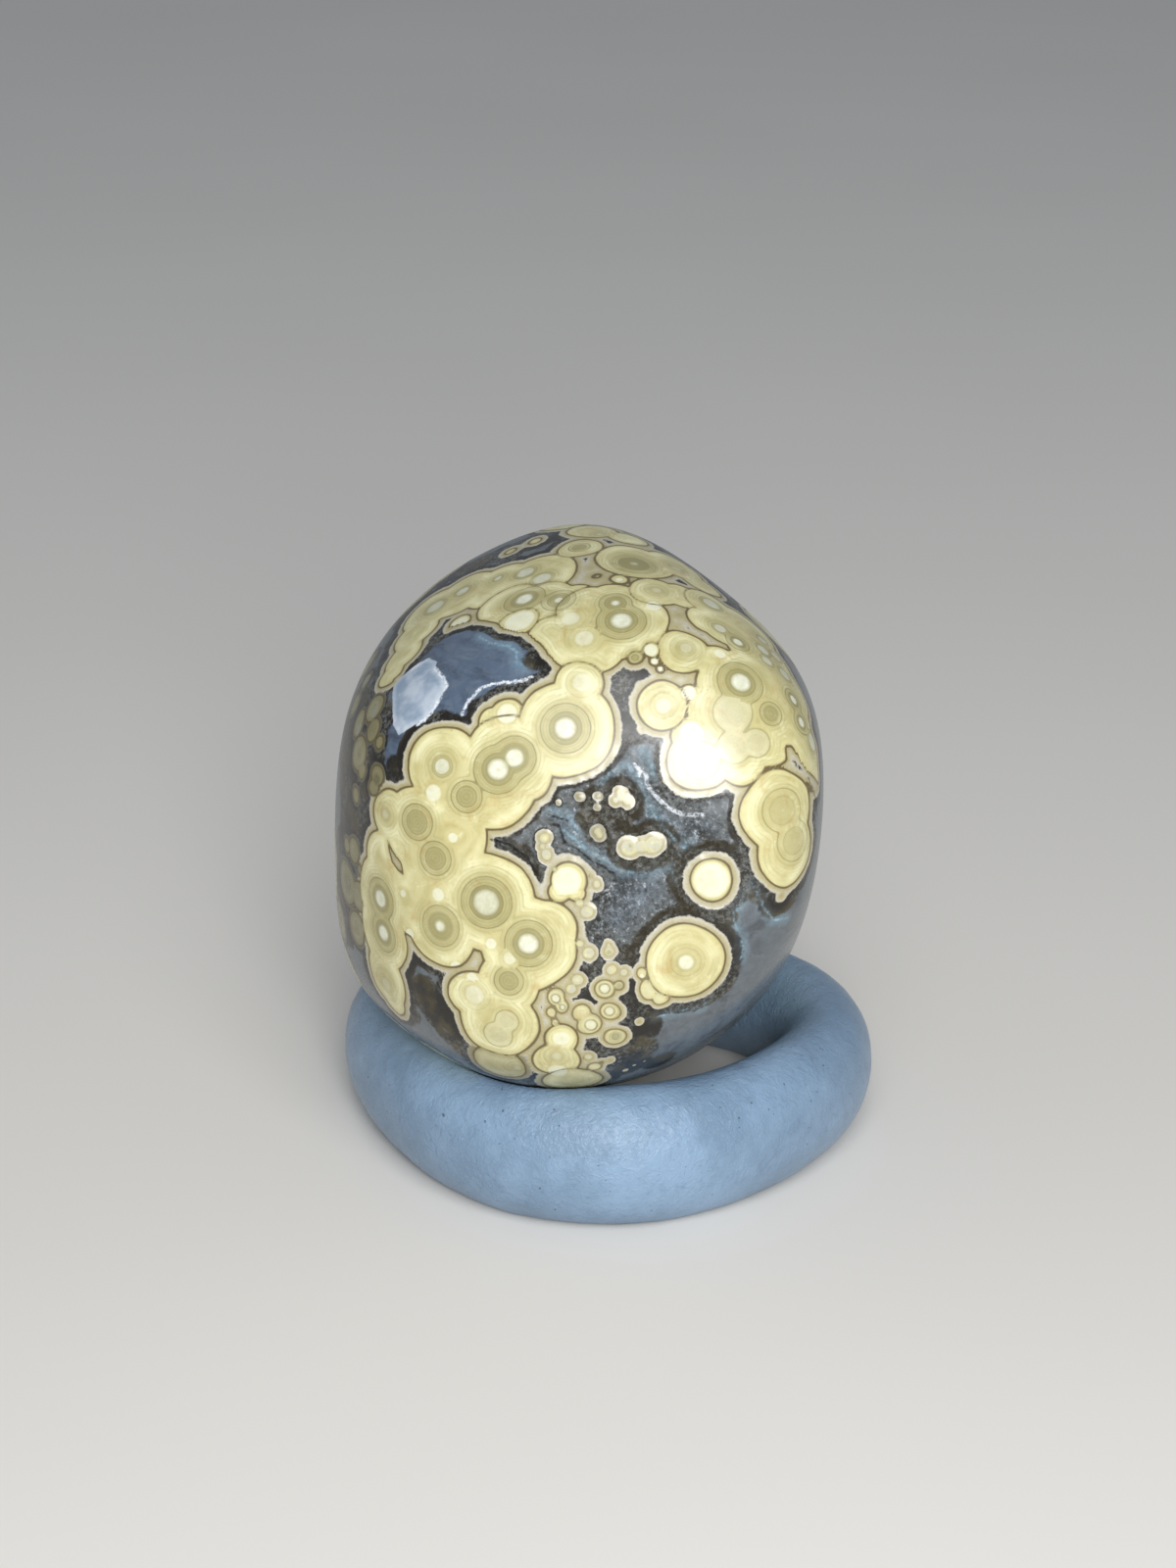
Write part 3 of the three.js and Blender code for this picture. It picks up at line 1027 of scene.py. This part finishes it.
def clearColour(finish, edge, marginEnd, rough):
    tones = agateTones
    cloud = finish.noise(0.45, 3, 0.55, 0.8)
    colour = finish.mix(tones["clearDark"], tones["clear"], finish.rise(cloud, 0.25, 0.5))
    past = (edge - marginEnd).atLeast(0.0)

    # The pocket is a bluer agate with level flow bands
    squeeze = {0: finish.place, 1: (0.5, 0.5, 2.4)}
    squeezed = finish.node("ShaderNodeVectorMath", {"operation": "MULTIPLY"}, squeeze)
    flow = finish.noise(0.5, 4, 0.6, 0.6, squeezed)
    windowColour = finish.mix(tones["windowDark"], tones["window"], finish.rise(flow, 0.3, 0.55))
    windowColour = finish.mix(windowColour, tones["clearPale"], finish.rise(flow, 0.55, 0.75) * 0.5)
    colour = finish.mix(colour, windowColour, finish.rise(finish.field("pocket"), 0.1, -0.1))

    # Small crystals in the middle: pale wisps, dark grains and bright specks
    wisps = finish.rise(finish.noise(1.0, 5, 0.7, 1.8), 0.45, 0.62)
    colour = finish.mix(colour, tones["clearPale"], wisps * (0.2 + 0.7 * rough))
    speck = finish.noise(4.2, 5, 0.8)
    grains = finish.rise(speck + finish.jitter(0.35, 0.7, 2), 0.50, 0.40)
    crust = finish.rise(edge, 1.9, 0.7) * rough
    colour = finish.mix(colour, tones["marginGrey"], crust * 0.75)
    colour = finish.mix(colour, tones["margin"], grains * rough * (0.55 + 0.35 * crust))
    colour = finish.mix(colour, tones["paleQuartzAndHighlight"], finish.rise(speck, 0.56, 0.68) * rough * 0.7)

    # Light blue seams where the photograph shows them, and along the margins of the hidden sides
    uneven = finish.jitter(0.55, 3.6, 5, 0.8)
    seam = finish.rise(finish.field("blue") + uneven, 0.11, -0.03)
    seam = seam * finish.rise(finish.noise(1.3, 3), 0.3, 0.6)
    glow = finish.rise(finish.field("blue") + uneven * 1.5, 0.55, 0.1) * 0.22
    hidden = finish.field("hidden")
    behind = finish.rise(abs(past - 0.05), 0.11, 0.0) * finish.rise(finish.noise(0.7, 2), 0.42, 0.6)
    blue = (seam * 0.75 + glow + behind * hidden * 0.5).atMost(1.0)
    agate = (past * 8.0 + cloud * 9.0).bands() ** 2.0 * finish.rise(past, 3.5, 0.2)
    colour = finish.mix(colour, tones["milky"], agate * hidden * 0.4)
    colour = finish.mix(colour, tones["blueLine"], blue)

    quartz = finish.field("quartz") + finish.jitter(0.22, 3.0, 4, 0.7)
    facets = finish.rise(finish.noise(0.55, 3, 0.6), 0.42, 0.66) * 0.45
    facets = facets + finish.rise(abs(quartz + 0.1), 0.3, 0.0) * 0.3
    quartzColour = finish.mix(tones["quartz"], tones["paleQuartzAndHighlight"], facets)
    return finish.mix(colour, quartzColour, finish.rise(quartz, 0.03, -0.03)), blue


def makeAgateFinish():
    finish = Finish("polished agate")
    tones, layers = agateTones, agateLayers
    edge = finish.field("edge") + finish.jitter(0.07, 2.4, 3)
    depth = (0.0 - edge).atLeast(0.0)
    rough = finish.field("rough") * finish.rise(edge, 0.3, 0.6)
    nearCentre = finish.field("rough")
    rimEnd = layers["rim"] + (finish.noise(2.6, 3, 0.6) - 0.5) * (0.22 + nearCentre * 0.15)
    rimEnd = rimEnd + finish.jitter(0.13, 11.0, 3, 0.7)
    marginWidth = layers["margin"] * finish.noise(0.55, 2) * 2.0 * (1 - finish.field("rough") * 0.85)
    marginEnd = rimEnd + marginWidth + finish.jitter(0.26, 4.0, 4, 0.7)
    clear, blue = clearColour(finish, edge, marginEnd, rough)

    # Black next to the rim, olive brown further out, and grey grains in it
    # The dark spots include painted shade on the left flank
    spot = finish.field("dark") + finish.jitter(0.55, 1.6, 4, 0.7)
    dark = finish.rise(edge - marginEnd, 0.06, -0.08).atLeast(finish.rise(spot, 0.10, -0.10))
    dark = dark * (1 - finish.rise(finish.field("quartz"), 0.0, -0.06))
    outward = finish.rise(edge - rimEnd, 0.2, 0.7) * finish.rise(finish.noise(0.8, 3), 0.4, 0.6)
    marginColour = finish.mix(tones["margin"], tones["marginOuter"], outward.atLeast(rough * 0.55))
    inSpot = finish.rise(spot, -0.20, -0.45) * rough
    grey = finish.rise(finish.noise(4.4, 5, 0.8), 0.46, 0.60)
    grey = grey * finish.rise(finish.noise(0.5, 2) + inSpot * 0.3, 0.42, 0.6)
    marginColour = finish.mix(marginColour, tones["marginGrey"], grey * 0.9)
    colour = finish.mix(clear, marginColour, dark * (1 - blue * 0.6))

    # Painted highlight: the glint lines are painted pale, partly as quartz crystals and partly as light that
    # the polish catches
    glintDots = finish.rise(finish.noise(6.0, 4, 0.7), 0.36, 0.55)
    glint = finish.rise(finish.field("glint") + finish.jitter(0.35, 4.0, 4, 0.7), 0.13, 0.03) * glintDots
    colour = finish.mix(colour, tones["paleQuartzAndHighlight"], glint)

    # The rim goes from beige at the brown line to a fuzzy white
    rimPaleness = finish.rise(edge / rimEnd, 0.3, 0.95) * 0.7 + finish.jitter(1.4, 6.0, 4, 0.75)
    rimPaleness = (rimPaleness + nearCentre * 0.2).atLeast(0.0).atMost(1.0)
    rimColour = finish.mix(tones["rim"], tones["rimPale"], rimPaleness)
    pale, dull = finish.field("pale"), finish.field("dull")
    # Painted shade: the rims and bodies of the left flank and the underside are darkened towards a dark olive
    rimColour = finish.mix(rimColour, tones["dull"], dull)
    colour = finish.mix(colour, rimColour, finish.rise(edge - rimEnd, 0.04, -0.05))
    crack = finish.rise(finish.field("crack") + finish.jitter(0.3, 5.0, 4, 0.8), 0.08, 0.0)
    colour = finish.mix(colour, tones["crack"], crack * 0.9)
    paleShare = pale * finish.rise(finish.noise(3.0, 3, 0.6), 0.7, 0.3)
    inBody = finish.mix(bodyColour(finish, depth), tones["crumb"], paleShare)
    # Painted shade, partly: the body is darkened towards the same dark olive
    inBody = finish.mix(inBody, tones["dull"], dull * 0.8)
    colour = finish.mix(colour, inBody, finish.rise(edge, -0.02, -0.05))

    # The brown line round every body, with a weaker stain on its outer side
    seam = abs(finish.field("seam") + finish.jitter(0.07, 2.4, 3))
    raw = finish.field("edge")
    nearLine = finish.rise(abs(raw), 0.15, 0.11) * (0.4 + 0.6 * finish.rise(raw, -0.07, 0.0))
    width = layers["brownLine"] * (0.5 + 0.9 * finish.noise(0.9, 2))
    brown = finish.rise(seam - width, 0.025, -0.02) * nearLine
    stain = finish.rise(edge, 0.16, 0.04) * finish.rise(edge, -0.04, 0.0) * 0.22
    colour = finish.mix(colour, tones["brownLine"], (brown * 0.88).atLeast(stain) * (1 - pale * 0.85))

    outside = finish.rise(edge, 0.1, 0.4)
    roughness = layers["roughness"] + finish.jitter(0.10, 1.3, 3) + rough * 0.12
    wrinkles = finish.noise(2.6, 5, 0.7, 1.4) * rough * 2.0 + finish.noise(1.2, 2) * 0.12 * outside
    normal = finish.bump(wrinkles - crack * 0.6, 0.11)
    return finish.surface({
        "Base Color": colour, "Roughness": roughness, "Normal": normal, "IOR": 1.54,
        "Coat Weight": 0.1, "Coat Roughness": 0.15,
    })


ringTones = {
    "clay": tone(119, 144, 169),
    "clayPale": tone(140, 167, 194),
    "clayDeep": tone(99, 122, 147),
    "speck": tone(50, 58, 66),
    "dust": tone(184, 204, 220),
}


def makeRingFinish():
    finish = Finish("satin clay")
    tones = ringTones
    colour = finish.mix(tones["clay"], tones["clayPale"], finish.rise(finish.noise(0.22, 3, 0.6), 0.35, 0.7))
    colour = finish.mix(colour, tones["clayDeep"], finish.rise(finish.noise(1.4, 4, 0.65), 0.5, 0.75) * 0.35)
    skin = finish.noise(2.3, 4, 0.6, 1.2)
    grain = finish.noise(8.0, 3, 0.6)
    colour = finish.mix(colour, tones["clayPale"], finish.rise(grain, 0.5, 0.7) * 0.3)
    colour = finish.mix(colour, tones["dust"], finish.rise(finish.noise(4.0, 3, 0.7, 0.8), 0.68, 0.78) * 0.45)
    colour = finish.mix(colour, tones["speck"], finish.rise(finish.noise(3.4, 1), 0.76, 0.79) * 0.7)
    roughness = 0.32 + finish.jitter(0.16, 0.8, 3) + (grain - 0.5) * 0.1
    height = skin * 0.75 + grain * 0.25
    return finish.surface({
        "Base Color": colour, "Roughness": roughness, "Normal": finish.bump(height, 0.11), "IOR": 1.5,
    })


def makeFloor():
    bpy.ops.mesh.primitive_plane_add(size=3.0)
    floor = bpy.context.object
    floor.name = "pale_floor"
    finish = Finish("pale floor")
    colour = finish.mix(tone(228, 224, 217), tone(234, 230, 224), finish.noise(0.02, 2))
    surface = {"Base Color": colour, "Roughness": 0.8, "Specular IOR Level": 0.2}
    floor.data.materials.append(finish.surface(surface))


lights = {
    "highlight": (715, 782),      # the photo pixel where the stone mirrors the main light
    "mainDistance": 170.0,        # mm
    "mainSize": 56.0,
    "mainPower": 0.16,            # watts
    "fillPlace": (30.0, -280.0, 300.0),
    "fillSize": 300.0,
    "fillPower": 0.85,
    "sky": tone(214, 222, 232),
    "skyStrength": 0.37,
}


def addLight(name, place, aim, size, power):
    lamp = bpy.data.lights.new(name, "AREA")
    lamp.shape = "DISK"
    lamp.size = size * mm
    lamp.energy = power
    light = bpy.data.objects.new(name, lamp)
    light.location = Vector(place) * mm
    light.rotation_euler = (Vector(aim) - Vector(place)).to_track_quat("-Z", "Y").to_euler()
    bpy.context.scene.collection.objects.link(light)


def makeLights():
    mirror = onStone(np.array([lights["highlight"]], float))
    normal = stoneNormals(mirror)[0]
    towardsCamera = unit(cameraPlace - mirror[0])
    towardsLight = 2 * (normal @ towardsCamera) * normal - towardsCamera
    print("the main light stands towards", towardsLight.round(3))
    place = mirror[0] + towardsLight * lights["mainDistance"]
    addLight("main", place, mirror[0], lights["mainSize"], lights["mainPower"])
    addLight("fill", lights["fillPlace"], stonePlace, lights["fillSize"], lights["fillPower"])
    world = bpy.data.worlds.new("soft sky")
    world.use_nodes = True
    world.node_tree.nodes["Background"].inputs["Color"].default_value = lights["sky"]
    world.node_tree.nodes["Background"].inputs["Strength"].default_value = lights["skyStrength"]
    bpy.context.scene.world = world


def makeCamera():
    data = bpy.data.cameras.new("photo view")
    data.sensor_fit = "AUTO"
    data.sensor_width = photoCamera["sensorSize"]
    data.lens = photoCamera["focalPixels"] * photoCamera["sensorSize"] / max(photoCamera["imageSize"])
    data.clip_start = 0.01
    data.clip_end = 20.0
    camera = bpy.data.objects.new("photo view", data)
    turn = Matrix(np.stack((cameraRight, cameraUp, -cameraAhead), 1).tolist())
    camera.matrix_world = Matrix.Translation(Vector(cameraPlace * mm)) @ turn.to_4x4()
    bpy.context.scene.collection.objects.link(camera)
    bpy.context.scene.camera = camera


makeCamera()
makeLights()
makeFloor()
bpy.context.scene.view_settings.view_transform = "Standard"
print("camera, lights and floor are in place")

stonePiece = makeStone()
stonePiece.data.materials.append(makeAgateFinish())
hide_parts("eye_agate")
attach(stonePiece, "root")
print("stone:", len(stonePiece.data.polygons), "faces")

ringPiece = makeRing()
ringPiece.data.materials.append(makeRingFinish())
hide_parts("ring_stand")
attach(ringPiece, "root")
print("ring:", len(ringPiece.data.polygons), "faces")
